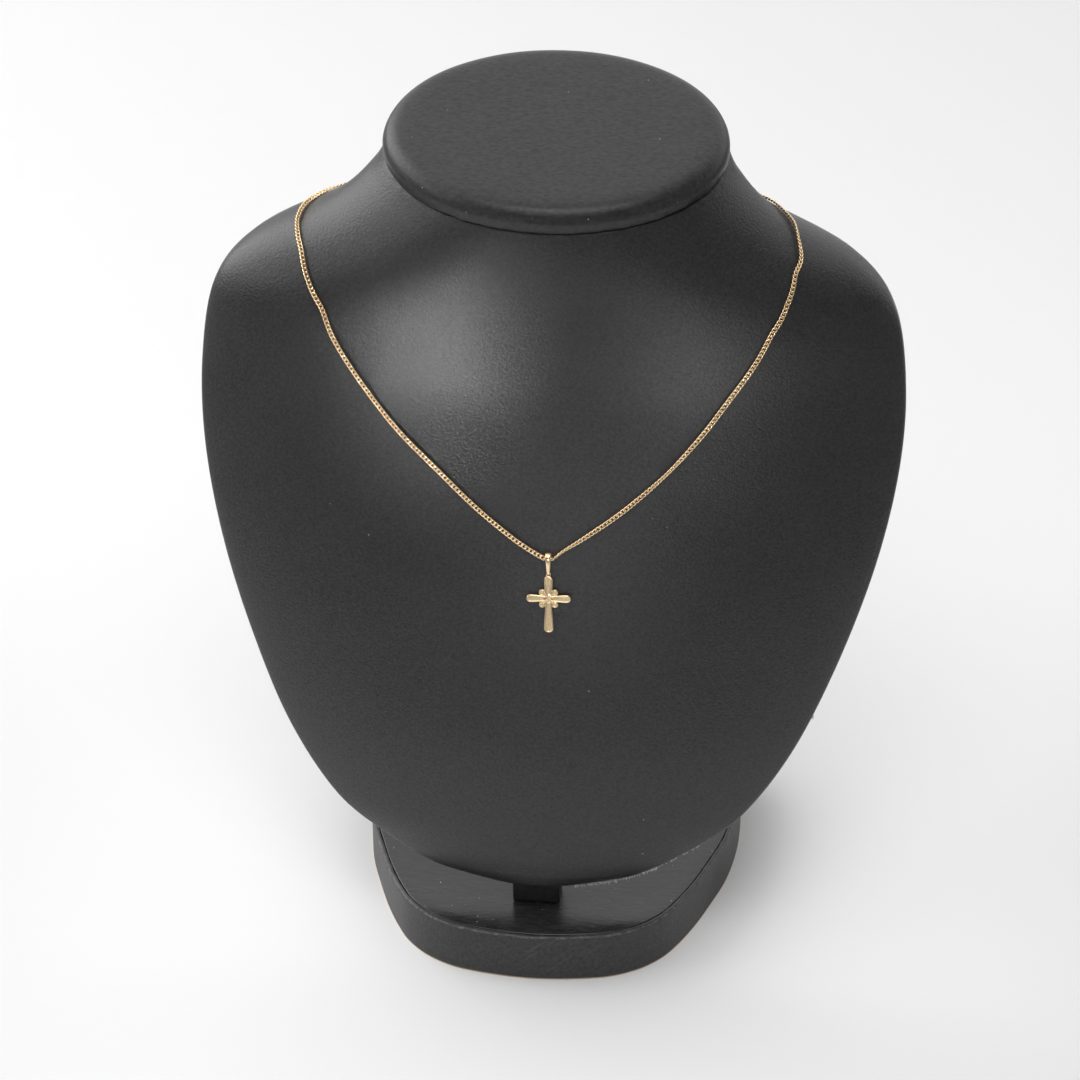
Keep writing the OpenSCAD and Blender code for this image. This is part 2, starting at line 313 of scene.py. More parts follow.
def front_depth(rows, s):
    """How far in front of a section's middle the leather lies, where the sine of the turn is s."""
    return -rows[..., FRONT] * (s * s) ** rows[..., CURVE]


def form_point(row, degrees):
    """A point on the leather: in front a flat arch, the sine of the turn raised to a power, and
    behind a squared oval of cosine and sine powers."""
    rows = spline(FORM, row)
    c, s = np.cos(np.radians(degrees)), np.sin(np.radians(degrees))
    power = 2 / rows[..., SQUARE]
    half = rows[..., HALF] * CHEST_HALF
    across = np.where(s >= 0, half * signed_power(c, power), half * c)
    depth = np.where(s >= 0, rows[..., BACK] * np.abs(s) ** power, front_depth(rows, s))
    return place_section(rows, np.stack([across, depth], -1))


def form_normal(row, degrees):
    """The direction straight out of the leather, from the differences up it and round it."""
    round_it = form_point(row, degrees + 1) - form_point(row, degrees - 1)
    up_it = form_point(row + 0.05, degrees) - form_point(row - 0.05, degrees)
    return unit(np.cross(round_it, up_it))


FOLD_SOFTNESS = 0.5
FOLD_ROUND = 0.8
EDGE_THICK = 3.0
OUTLINE_STEPS = 1440
EVEN_STEPS = 1600
FOOT_ROWS = [0, 0.02, 0.06, 0.12, 0.2, 0.3, 0.4]
UPPER_RINGS = 232
CROWDED = 8.0  # how far from a corner the points are close together
WALL_STEPS, FRONT_STEPS = (28, 72), (20, 122)  # beside a corner, and between the corners
PUCKER, PUCKER_SIZE, PUCKER_REACH = 0.16, 2.6, 1.3
SAG, SAG_SIZE = 0.06, 34.0
FOLD_WIDE, SEAM_WIDE = 0.9, 0.5
WELT_AWAY, WELT_WIDE = 2.0, 0.55  # the paler line in front of the fold, part wear and part painted highlight
RAW_EDGE_ROWS = (7.9, 8.9)  # where the raw edge at the side ends
WELT_ROWS = (5.4, 6.2, 8.0, 8.6)


def chest_sections(u):
    """Flat outlines of the chest, evenly stepped and with soft corners: the arch in front and a
    squared curve behind are joined, and a Gaussian along the outline rounds where they meet.
    Also how long each outline is behind, and in all."""
    rows = spline(FORM, u)[:, None, :]
    turn = circle(OUTLINE_STEPS)
    c, s = np.cos(turn), np.sin(turn)
    half = rows[..., HALF] * CHEST_HALF
    square = rows[..., SQUARE]
    reach = (np.abs(c) ** square + np.abs(s) ** square) ** (1 / square)
    across = np.where(s > 0, half * c / reach, half * c)
    depth = np.where(s > 0, rows[..., BACK] * s / reach, front_depth(rows, s))
    flat = np.stack([across, depth], -1)
    along = lengths_along(flat)
    wall, whole = along[:, OUTLINE_STEPS // 2, None], along[:, -1:]
    flat = pick_along(flat, along, whole * np.arange(EVEN_STEPS) / EVEN_STEPS)
    waves = np.fft.rfftfreq(EVEN_STEPS) * (EVEN_STEPS / whole)
    soft = np.exp(-0.5 * (TURN * waves * FOLD_SOFTNESS) ** 2)
    flat = np.fft.irfft(np.fft.rfft(flat, axis=1) * soft[..., None], EVEN_STEPS, axis=1)
    return rows, flat, wall, whole


def crowded_places(wall, whole):
    """Where along each outline the mesh has its points: close together beside both corners. The
    outline first runs behind, along the wall, and then in front."""
    near_wall = CROWDED * np.linspace(0, 1, WALL_STEPS[0]) ** 1.5
    near_front = CROWDED * np.linspace(0, 1, FRONT_STEPS[0])[1:] ** 1.5
    rest = whole - wall
    inner_back = np.linspace(0, 1, WALL_STEPS[1])[1:-1]
    inner_front = np.linspace(0, 1, FRONT_STEPS[1])[1:-1]
    parts = [
        near_wall + 0 * wall,
        CROWDED + (wall - 2 * CROWDED) * inner_back,
        wall - near_wall[::-1],
        wall + near_front,
        wall + CROWDED + (rest - 2 * CROWDED) * inner_front,
        wall + rest - near_front[::-1],
    ]
    return np.concatenate(parts, axis=1)


def make_chest():
    """The padded chest and neck: rings from the foot to the neck, puckered under the cap and a
    little uneven all over, with masks for the fold at the edge, paler from wear and a painted
    highlight, and for painted shade in the gap behind it."""
    u = np.concatenate([FOOT_ROWS, np.linspace(0.5, NECK_ROW, UPPER_RINGS)])
    rows, flat, wall, whole = chest_sections(u)
    places = crowded_places(wall, whole)
    flat = pick_along(flat, np.arange(EVEN_STEPS + 1) * whole / EVEN_STEPS, places)
    over_foot = (rows[:, 0, HEIGHT] - CHEST_FOOT) / math.cos(LEAN)
    middle = flat.mean(axis=1, keepdims=True)
    flat = flat - unit(flat - middle) * round_drop(over_foot, FOLD_ROUND)[:, None, None]
    points = place_section(rows, flat)
    normals = grid_normals(points)
    in_wall = np.minimum(places, wall - places)
    in_front = np.minimum(places - wall, whole - places)
    behind_fold = np.where(places < wall, in_wall, -in_front)
    under_cap = np.linalg.norm(points - points[-1:], axis=2)
    pucker = np.exp(-under_cap / PUCKER_REACH) * ripple(points, 5, PUCKER_SIZE)
    push = PUCKER * pucker + SAG * ripple(points, 7, SAG_SIZE)
    points = points + normals * push[..., None]
    low_down = 1 - smoothstep(*RAW_EDGE_ROWS, u)[:, None]
    # Painted shade: a dark line in the gap between the front leather and the board, on the lower
    # rows.
    seam = bell(behind_fold - EDGE_THICK, SEAM_WIDE) * low_down
    at_right = (places > (whole + wall) / 2) | (places < wall / 2)
    wear_and_highlight = smoothstep(*WELT_ROWS[:2], u) * (1 - smoothstep(*WELT_ROWS[2:], u))
    # The welt and the fold: paler lines, part rubbed wear and part painted highlight on the edge's
    # turn.
    welt = bell(behind_fold + WELT_AWAY, WELT_WIDE) * wear_and_highlight[:, None] * at_right
    fold = np.maximum(bell(behind_fold, FOLD_WIDE) * low_down, 0.95 * welt)
    masks = {"fold": fold, "seam": seam}
    return make_piece("chest_leather", *closed_tube(points), "leatherette", ["chest_form"], masks)


# Frayed threads at the chest's raw lower edge

THREAD_THICK, THREAD_TAPER = 0.18, 0.6
THREAD_STEPS, THREAD_SIDES = 6, 5
FRAYS = [
    # from row, to row, threads, longest, how far they spread
    [0.1, 0.16, 46, 0.9, 1.6],
    [0.2, 1.3, 130, 1.1, 0.8],
    [1.2, 2.4, 100, 0.8, 0.8],
    [2.3, 3.3, 40, 0.6, 0.9],
    [5.4, 5.44, 16, 0.7, 1.4],
]


def make_fray():
    """Frayed threads on the right of the chest's lower edge, mostly beside the post. Each is a thin
    tube along root + length * (t * way + t * t * bend), with a random way and bend."""
    random = np.random.default_rng(4)
    table = np.array(FRAYS)
    low, high, _, longest, spread = np.repeat(table, table[:, 2].astype(int), axis=0).T
    row = low + (high - low) * random.random(low.size)
    edge = form_point(row, 0 * row)
    along = unit(form_point(row + 0.05, 0 * row) - edge)
    out = unit(np.cross(along, OUT_LEAN))
    out = out * np.where(out[:, 2:3] < 0, 1, -1)
    way = unit(out + spread[:, None] * (random.random((row.size, 3)) - 0.5) * 2)
    bend = 0.7 * (random.random((row.size, 3)) - 0.5)
    length = longest * (0.4 + 0.6 * random.random(row.size))
    root = edge + 0.2 * OUT_LEAN + along * (random.random((row.size, 1)) - 0.5) * 0.3
    t = np.linspace(0, 1, THREAD_STEPS)[None, :, None]
    middle = root[:, None] + length[:, None, None] * (t * way[:, None] + t * t * bend[:, None])
    ahead = unit(np.gradient(middle, axis=1))
    side = unit(np.cross(ahead, [0.3, 0.9, 0.4]))
    other = np.cross(ahead, side)
    turn = circle(THREAD_SIDES)[:, None]
    section = np.cos(turn) * side[:, :, None] + np.sin(turn) * other[:, :, None]
    thick = THREAD_THICK * (1 - THREAD_TAPER * t[..., None])
    rings = middle[:, :, None] + thick / 2 * section
    return make_piece("frayed_threads", *join_tubes(list(rings)), "leatherette")


# The padded cap on the neck

CAP_SEAM = 0.3
CAP_STEPS, CAP_RINGS, FACE_RINGS = 420, 66, 24
GATHERS, CAP_SAG = 0.14, 0.07
CAP_EDGE = [
    # out, up
    [-5.5, 0.3], [-2.5, 0.3], [-0.6, 0.3], [0.3, 0.8], [0.6, 2.4],
    [0.4, 4.2], [-0.7, 6.1], [-2.7, 7.35], [-6, 7.8], [-12, 7.9],
]


def make_cap():
    """The cap: the neck's oval carried up a rolled profile and in over a nearly flat face."""
    turn = np.linspace(0, 360, CAP_STEPS, endpoint=False)
    rim = form_point(NECK_ROW + 0 * turn, turn)
    middle = (rim[turn == 90] + rim[turn == 270]) / 2
    tip = math.radians(FORM[-1][TIP])
    upright = np.array([0, math.sin(tip), math.cos(tip)])
    out, up = spline(CAP_EDGE, np.linspace(0, len(CAP_EDGE) - 1, CAP_RINGS)).T
    rings = rim + unit(rim - middle) * out[:, None, None] + upright * up[:, None, None]
    points = np.concatenate([rings, drawn_in(rings[-1], np.linspace(0.96, 0.04, FACE_RINGS))])
    height = (points - middle) @ upright
    gathers = ripple(points, 11, 3.2) + 0.6 * ripple(points, 12, 9.0)
    gathered = GATHERS * bell(height - CAP_SEAM - 0.5, 1.5) * gathers
    push = gathered + CAP_SAG * ripple(points, 13, 26.0)
    points = points + grid_normals(points) * push[..., None]
    ragged = height - CAP_SEAM + 0.12 * ripple(points, 15, 1.3) + 0.15 * ripple(points, 16, 12.0)
    # Painted highlight: paler flecks along the lip just above the lower edge, strongest on the
    # left, where the light comes from.
    to_left = 0.35 + 0.65 * smoothstep(8, -30, points[..., 0])
    masks = {
        "fold": to_left * bell(ragged - 0.85, 0.3),
        # painted shade: dark under the cap's lower edge, where it meets the neck
        "seam": 1 - smoothstep(0.45, 0.8, ragged),
    }
    return make_piece("cap_leather", *closed_tube(points), "leatherette", ["neck_cap"], masks)


# The board, the post and the base

BOARD_BACK, BOARD_THICK, BOARD_INSET = 3.2, 2.5, 0.3
BOARD_LOW_ROW, BOARD_TOP_ROW = 1.2, 7.8
POST_WIDE, POST_THICK, POST_UP = 13.0, 5.0, 70.0
POST_FRONT = TIP_Y + 1.5
GAP = 0.2
BASE_HEIGHT = 15.0
RIM_WIDE = 1.2
PANEL_THICK = 3.0
RIM_DENTS, WALL_DENTS = (0.1, 5.0), (0.05, 30.0)  # how deep and how long
BASE_HALF = [
    # x, y
    [18, -54], [28, -50], [35, -44], [39.5, -37], [43.5, -28.5], [47, -19], [50.5, -8],
    [52.5, 4], [53, 16], [52, 30], [48, 42], [39, 49], [25, 51],
]
BASE_FRONT, BASE_BACK = [0, -56], [0, 51]
BASE_STEPS = 720


def offset_loop(loop, inset):
    """A closed flat loop moved inwards by an amount, along the normal of each point."""
    ahead = unit(np.roll(loop, -1, axis=0) - np.roll(loop, 1, axis=0))
    return loop + inset * np.stack([-ahead[:, 1], ahead[:, 0]], -1)


def even_loop(loop, count):
    """A closed flat loop with its points spread evenly along it."""
    along = lengths_along(loop[None])
    return pick_along(loop[None], along, along[:, -1:] * np.arange(count) / count)[0]


def soften_loop(loop, passes):
    """Corners rounded by averaging each point with its neighbours again and again."""
    for _ in range(passes):
        loop = 0.25 * np.roll(loop, 1, axis=0) + 0.5 * loop + 0.25 * np.roll(loop, -1, axis=0)
    return loop


def stacked_loops(loop, profile):
    """The loop repeated for each (inset, height) of a profile, as rings of 3D points."""
    rings = [(offset_loop(loop, inset), np.full(len(loop), up)) for inset, up in profile]
    return np.stack([np.column_stack(ring) for ring in rings])


def round_over(inset, height, radius, steps, start, end):
    """(inset, height) pairs of an arc round a centre, from one angle in degrees to another."""
    turn = np.radians(np.linspace(start, end, steps))
    return [(inset - radius * math.cos(t), height + radius * math.sin(t)) for t in turn]


def base_loop():
    """The base's outline seen from above, counted anticlockwise from its front."""
    right = np.array(BASE_HALF, float)
    loop = np.vstack([BASE_FRONT, right, BASE_BACK, (right * [-1, 1])[::-1]])
    places = np.arange(BASE_STEPS) * len(loop) / BASE_STEPS
    return even_loop(closed_spline(loop, places), BASE_STEPS)


def make_base():
    """The block: its outline carried up a wall with a soft lower edge, over a rolled rim and down
    into the pocket."""
    loop = base_loop()
    pocket = BASE_HEIGHT - PANEL_THICK - GAP
    foot, shoulder, lip = 0.35, 0.7, 0.25  # the radii of the rounded edges
    profile = (
        round_over(foot, foot, foot, 4, -90, 0)
        + [(0, h) for h in (1.2, 3.5, 7, 10.5, 13)]
        + round_over(shoulder, BASE_HEIGHT - shoulder, shoulder, 8, 0, 90)
        + round_over(RIM_WIDE - lip, BASE_HEIGHT - lip, lip, 4, 90, 180)
        + [(RIM_WIDE, pocket + 1)]
        + [(RIM_WIDE + inner, pocket) for inner in (0, 4, 20)]
    )
    rings = stacked_loops(loop, profile)
    height = rings[..., 2]
    at_rim = smoothstep(BASE_HEIGHT - 1.6, BASE_HEIGHT - 0.1, height)
    dents = RIM_DENTS[0] * at_rim * ripple(rings, 21, RIM_DENTS[1])
    dents = dents + WALL_DENTS[0] * ripple(rings, 22, WALL_DENTS[1])
    outward = np.column_stack([loop - offset_loop(loop, 1.0), np.zeros(len(loop))])
    rings = rings + unit(outward) * (dents * smoothstep(0.3, 1.2, height))[..., None]
    masks = {"fold": bell(height - BASE_HEIGHT + 0.35, 0.45)}
    return make_piece("base_wall", *closed_tube(rings), "base_black", ["base_block"], masks)


def make_panel():
    """The top panel: the same outline, moved in, with a small round-over at its edge."""
    loop = offset_loop(base_loop(), RIM_WIDE + GAP)
    bottom, r = BASE_HEIGHT - PANEL_THICK, 0.3
    profile = [(0.2, bottom), (0, bottom + 0.2)] + round_over(r, BASE_HEIGHT - r, r, 6, 0, 90)
    rings = capped(stacked_loops(loop, profile), (3, 0.9), (14, 0.98))
    return make_piece("base_panel", *closed_tube(rings), "base_panel", ["base_top"])


def make_board():
    """The back board: its outline follows the chest's, and its edges are rounded over."""
    rows = spline(FORM, np.linspace(BOARD_LOW_ROW, BOARD_TOP_ROW, 60))
    half = rows[:, HALF] * CHEST_HALF - BOARD_INSET
    up = (rows[:, HEIGHT] - CHEST_FOOT) / math.cos(LEAN)
    loop = np.vstack([np.column_stack([half, up]), np.column_stack([-half, up])[::-1]])
    loop = soften_loop(even_loop(loop, 420), 12)
    r = 0.6
    profile = round_over(r, r, r, 5, -90, 0) + round_over(r, BOARD_THICK - r, r, 5, 0, 90)
    rings = capped(stacked_loops(loop, profile), (8, 0.97), (8, 0.97))
    points = CHEST_TIP + rings @ np.stack([[1.0, 0, 0], UP_LEAN, OUT_LEAN]) + BOARD_BACK * OUT_LEAN
    return make_piece("board_back", *closed_tube(points), "board_cloth", ["back_board"])


def make_post():
    """The post and its tongue: the outline seen from the side, with soft corners, carried across
    with rounded sides."""
    face = BOARD_BACK + BOARD_THICK + GAP

    def lean_point(up, back):
        """The Y and Z of a point so far up the chest's back and out from it."""
        return (CHEST_TIP + up * UP_LEAN + back * OUT_LEAN)[1:]

    under = lean_point(-GAP, 1.5 / math.cos(LEAN))[1] - GAP / 2
    heel_back = lean_point(0, face + POST_THICK)
    foot = BASE_HEIGHT + GAP / 2
    top = [lean_point(POST_UP, face + POST_THICK), lean_point(POST_UP, face)]
    heel = [[POST_FRONT, foot], [heel_back[0], foot], heel_back]
    loop = np.vstack([heel, top, lean_point(-GAP, face), [POST_FRONT, under]])
    loop = soften_loop(even_loop(loop, 320), 6)
    half, r = POST_WIDE / 2, 0.7
    profile = round_over(r, -half + r, r, 6, -90, 0) + round_over(r, half - r, r, 6, 0, 90)
    points = np.roll(stacked_loops(loop, profile), 1, axis=-1)
    return make_piece("post_leather", *closed_tube(points), "post_black", ["post"])


# The chain, link by link

CLASP_ROW = 11.7
REST, NAPE, HUNG = 0.9, 1.0, 1.5  # how far the chain's middle is from the leather
CHAIN_ROUTE = [
    # row, angle, lift, roll: along the leather from the clasp round the right side and back
    [CLASP_ROW, 85.4, NAPE, 0],
    [11.7, 74, NAPE, 0],
    [11.74, 56, 0.7, 0],
    [11.82, 36, 0.5, 0],
    [11.93, 19, 0.6, 20],
    [11.87, 6, 0.8, 50],
    [11.79, -6, REST, 40],
    [11.6, -18.5, REST, 25],
    [11.4, -29.5, REST, 15],
    [10.95, -40.5, REST, 5],
    [10.24, -48, REST, 0],
    [9.62, -53.5, REST, 0],
    [9.08, -59, REST, 0],
    [8.58, -64, REST, 12],
    [8.12, -69.5, REST, 45],
    [7.7, -76, REST, 12],
    [7.4, -82, REST, 30],
    [7.24, -85.7, REST + 0.2, 62],
    [7.165, -87.2, HUNG, 70],
    [7.155, -88.1, HUNG, 40],
    [7.165, -89, HUNG, 10],
    [7.24, -91.5, REST + 0.2, 0],
    [7.38, -95, REST, 0],
    [7.68, -101, REST, -8],
    [8.08, -107.5, REST, 0],
    [8.5, -114, REST, 0],
    [9.04, -120.5, REST, 0],
    [9.66, -127, REST, -10],
    [10.29, -132, REST, -30],
    [10.96, -140, REST, -45],
    [11.37, -151, REST, -50],
    [11.57, -164, REST, -55],
    [11.65, -178, REST, -80],
    [11.67, -190, 0.8, -70],
    [11.66, -201, 0.55, -30],
    [11.6, -226, 0.6, 0],
    [11.64, -247, NAPE, 0],
    [CLASP_ROW, -265.4, NAPE, 0],
]
ROUTE_STEPS = 6000
LINK_PITCH = 1.15
WIRE = 0.4
LINK_LONG = LINK_PITCH + WIRE + 0.03
LINK_WIDE = 1.07
LINK_TWIST, LINK_FLAT = 0.22, 0.29
LINK_STEPS, WIRE_SIDES = 16, 8


def link_shape():
    """One curb link: an oval whose height follows the sine of twice the turn, with round wire and
    filed faces."""
    t = circle(LINK_STEPS)
    centre = [LINK_LONG / 2 * np.cos(t), LINK_WIDE / 2 * np.sin(t), LINK_TWIST * np.sin(2 * t)]
    centre = np.stack(centre, -1)
    ahead = unit(np.roll(centre, -1, axis=0) - np.roll(centre, 1, axis=0))
    out = unit(np.cross(ahead, [0, 0, 1.0]))
    over = np.cross(out, ahead)
    w = (circle(WIRE_SIDES) + TURN / 2 / WIRE_SIDES)[:, None]
    link = centre[:, None] + WIRE / 2 * (np.cos(w) * out[:, None] + np.sin(w) * over[:, None])
    link[..., 2] = np.clip(link[..., 2], -LINK_FLAT, LINK_FLAT)
    return link


def chain_frames():
    """Where each link lies and how it is turned: even steps along the route, with the normal rolled
    about it."""
    u = np.linspace(0, len(CHAIN_ROUTE) - 1, ROUTE_STEPS)
    route = spline(CHAIN_ROUTE, u)
    normal = form_normal(route[:, 0], route[:, 1])
    points = form_point(route[:, 0], route[:, 1]) + normal * route[:, 2:3]
    along = np.concatenate([[0], np.cumsum(np.linalg.norm(np.diff(points, axis=0), axis=1))])
    count = int(round(along[-1] / LINK_PITCH))
    at = along[-1] * (np.arange(count) + 0.5) / count

    def pick(values):
        """Values at the links' places, straight between those along the route."""
        return np.stack([np.interp(at, along, v) for v in values.T], -1)

    centre, normal = pick(points), unit(pick(normal))
    ahead = unit(pick(np.gradient(points, axis=0)))
    roll = np.radians(np.interp(at, along, route[:, 3]))[:, None]
    side = unit(np.cross(ahead, normal))
    out = np.cross(side, ahead)
    turned_side = side * np.cos(roll) + out * np.sin(roll)
    turned_out = out * np.cos(roll) - side * np.sin(roll)
    return centre, ahead, turned_side, turned_out


def make_chain():
    """The curb chain: one link shape put at every frame of the route."""
    centre, ahead, side, out = chain_frames()
    link = link_shape()
    axes = np.stack([ahead, side, out], axis=1)
    points = centre[:, None, None, :] + np.einsum("awk,nkd->nawd", link, axes)
    return make_piece("curb_chain", *join_rings(points), (), "gold", ["chain"])


# The clasp, the bail and the cross

CLASP_WIDE, CLASP_WIRE = 6.0, 1.1
CLASP_LIFT = CLASP_WIRE / 2 + 0.7
EYE_WIDE, EYE_WIRE, EYE_SUNK = 2.4, 0.6, 0.45
MIDDLE_BEHIND = 90.0  # degrees round the form


def wire_ring(wide, wire, x=0.0, steps=96, sides=20):
    """A round ring of round wire lying flat, its middle at x."""
    w = circle(sides)
    reach = (wide - wire) / 2 + wire / 2 * np.cos(w)
    return swept(reach, wire / 2 * np.sin(w), circle(steps)[:, None], x)


def make_clasp():
    """The clasp: a ring of thick wire with a small eye each side, lying on the nape."""
    reach = (CLASP_WIDE + EYE_WIDE) / 2 - EYE_SUNK
    eyes = [wire_ring(EYE_WIDE, EYE_WIRE, x, 48, 12) for x in (reach, -reach)]
    normal = form_normal(CLASP_ROW, MIDDLE_BEHIND)
    start = form_point(CLASP_ROW, MIDDLE_BEHIND) + normal * CLASP_LIFT
    axes = np.stack([[1.0, 0, 0], np.cross(normal, [1.0, 0, 0]), normal])
    rings = [wire_ring(CLASP_WIDE, CLASP_WIRE), *eyes]
    points, quads = join_rings([start + ring @ axes for ring in rings])
    return make_piece("clasp_ring", points, quads, (), "gold", ["clasp"])


PENDANT_ROW, BAIL_ROW = 6.735, 7.17
PENDANT_ANGLE = -88.1
HANG_HEIGHT, HANG_TURN = 12.6, 1.7
STRAP_THICK, STRAP_SIDES = 0.4, 24
LOOP_STEPS = 12  # points between two of the loop's own
BAIL_LOOP = [
    # up the chest, out of the leather
    [6.63, 1.22], [6.93, 1.86], [7.85, 2.35], [9.65, 2.8], [11.45, 2.95], [12.5, 2.4],
    [12.75, 1.6], [12.4, 0.8], [11.15, 0.34], [9.25, 0.33], [7.75, 0.36], [6.93, 0.58],
]
BAIL_WIDTH = [
    # up, width
    [5.65, 0.5], [6.85, 0.54], [7.85, 0.82], [9.65, 1.0], [11.25, 1.2], [12.25, 1.35], [13.25, 1.3],
]
CROSS_LIFT, CROSS_THICK = 0.4, 1.2
CROSS_RISE = 1.8  # degrees
CROSS_ARMS = [
    # turn, length, inner, outer, rim, tip_rim
    [0, 6.35, 0.92, 1.15, 0.42, 0.36],
    [90, 5.95, 0.78, 1.1, 0.32, 0.32],
    [180, 9.55, 0.82, 1.27, 0.42, 0.34],
    [270, 5.95, 0.78, 1.1, 0.32, 0.32],
]
ARM_STEPS, TIP_STEPS, ACROSS_STEPS = 66, 22, 41
FIELD_DEPTH, FIELD_SLOPE = 0.26, 0.16
STIPPLE, STIPPLE_SIZE = 0.03, 0.42
ARM_EDGE, CURL_EDGE = 0.3, 0.25  # the radii of the rounded edges
ARM_WALLS = [
    # share of the half width, height: an arm's sides and underside
    [1, 0.7], [1, 0.35], [0.97, 0.08], [0.85, 0], [0, 0],
    [-0.85, 0], [-0.97, 0.08], [-1, 0.35], [-1, 0.7],
]
CURL_PLACE, CURL_R = 1.68, 0.9
CURL_STEPS, CURL_FACE = 56, 26  # points round a scroll, and rings on its face
CURL_TURNS, CURL_GROOVE, CURL_EYE = 1.9, 0.2, 0.18
BOSS = [
    # radius, height
    [0.05, 1.0], [0.7, 1.0], [1.3, 0.98], [1.55, 0.9],
    [1.68, 0.7], [1.7, 0.3], [1.55, 0.02], [0.3, 0],
]
LUG_PLACE, LUG_R, LUG_HOLE, LUG_THICK = 6.7, 0.68, 0.42, 0.6


def on_chest(points):
    """Points of the pendant's own frame (across, up the chest, out of it) turned about the point it
    hangs from and put on the chest."""
    hung_from = np.array([0, HANG_HEIGHT, 0])
    points = (points - hung_from) @ spin(math.radians(HANG_TURN)) + hung_from
    low = form_point(PENDANT_ROW, PENDANT_ANGLE)
    high = form_point(BAIL_ROW, PENDANT_ANGLE)
    return low + points @ tilt(math.atan2(high[2] - low[2], high[1] - low[1]))


def laid_cross(points):
    """Points of the cross's own frame, tipped up at its top and lifted off the leather."""
    return on_chest(points @ tilt(math.radians(CROSS_RISE)) + [0, 0, CROSS_LIFT])


def make_bail():
    """The bail: a rounded flat section carried round a closed loop, wider towards its top."""
    u = np.arange(0, len(BAIL_LOOP), 1 / LOOP_STEPS)
    path = closed_spline(BAIL_LOOP, u)
    before = closed_spline(BAIL_LOOP, u + len(BAIL_LOOP) - 0.05)
    ahead = unit(closed_spline(BAIL_LOOP, u + 0.05) - before)
    out = np.stack([-ahead[:, 1], ahead[:, 0]], -1)
    width_up, width = np.array(BAIL_WIDTH).T
    half = np.interp(path[:, 0], width_up, width)[:, None] / 2
    t = circle(STRAP_SIDES)
    across = half * signed_power(np.cos(t), 0.6)
    thick = STRAP_THICK / 2 * signed_power(np.sin(t), 0.75)
    flat = path[:, None] + out[:, None] * thick[:, None]
    points, quads = join_rings([on_chest(np.concatenate([across[..., None], flat], -1))])
    return make_piece("bail_strap", points, quads, (), "gold", ["bail"])


def arm_rings(turn, length, inner, outer, rim, tip_rim):
    """One arm of the cross: rings across it from the middle of the cross to its round end. Their
    tops fall off at the outline, and sink inside a rim whose width changes along the arm."""
    centre = length - outer
    straight = np.concatenate([[0.04], np.linspace(0.12, centre, ARM_STEPS)])
    swing = np.radians(np.linspace(0, 86, TIP_STEPS))[1:]
    v = np.concatenate([straight, centre + outer * np.sin(swing)])
    side = inner + (outer - inner) * smoothstep(0, 1, straight / centre)
    half = np.concatenate([np.minimum(side, 0.02 + straight * 0.98), outer * np.cos(swing)])
    s = np.sin(np.linspace(-math.pi / 2, math.pi / 2, ACROSS_STEPS))
    x = half[:, None] * s
    v = v[:, None] + 0 * x
    to_edge = np.where(v < centre, half[:, None] - np.abs(x), outer - np.hypot(x, v - centre))
    rim_here = rim + (tip_rim - rim) * smoothstep(0.2, 0.9, v / length)
    sunk = FIELD_DEPTH * smoothstep(0, FIELD_SLOPE, to_edge - rim_here)
    grains = ripple(np.stack([x, v, 0 * x], -1) + turn, 31, STIPPLE_SIZE, 14)
    stipple = STIPPLE * grains * smoothstep(0.02, 0.14, sunk)
    top = CROSS_THICK - round_drop(to_edge, ARM_EDGE) - sunk + stipple
    share, height = np.array(ARM_WALLS).T
    lower_x = half[:, None] * share
    lower = np.stack([lower_x, v[:, :1] + 0 * lower_x, height + 0 * lower_x], -1)
    rings = np.concatenate([np.stack([x, v, top], -1), lower], axis=1)
    field = np.concatenate([smoothstep(0.05, 0.2, sunk), np.zeros(lower.shape[:2])], axis=1)
    return rings @ spin(math.radians(turn)), field


def curl_rings(x, y, handed):
    """A scroll in a corner: a disc with a spiral groove that winds in to a sunken middle."""
    t = circle(CURL_STEPS)
    face = np.linspace(0.03, CURL_R - 0.01, CURL_FACE)
    r = np.concatenate([face, [CURL_R, CURL_R, CURL_R * 0.9, 0.3]])[:, None]
    phase = np.mod(r / CURL_R * CURL_TURNS - handed * t / TURN, 1)
    inside = smoothstep(0.0, 0.2, r / CURL_R) * (1 - smoothstep(0.68, 0.86, r / CURL_R))
    groove = CURL_GROOVE * bell(phase - 0.5, 0.16) * inside
    middle = CURL_EYE * bell(r, 0.2)
    z = CROSS_THICK - 0.08 - round_drop(CURL_R - r, CURL_EDGE) - groove - middle
    z[CURL_FACE:] = [[0.6], [0.3], [0.02], [0.0]]
    field = np.clip(groove * 4 + middle * 4, 0, 1) * (z > 0.6)
    return swept(r, z, t, x, y), field


def boss_rings():
    """The low disc behind the middle of the cross, which fills the corners between the arms."""
    return swept(*np.array(BOSS).T[:, :, None], circle(48))


def lug_ring():
    """The pierced lug on the top arm: a ring of rounded square section in the cross's plane."""
    w = circle(16)
    middle, half = (LUG_R + LUG_HOLE) / 2, (LUG_R - LUG_HOLE) / 2
    reach = middle + half * signed_power(np.cos(w), 0.7)
    up = (CROSS_THICK + LUG_THICK * signed_power(np.sin(w), 0.7)) / 2
    return swept(reach, up, circle(48)[:, None], y=LUG_PLACE)


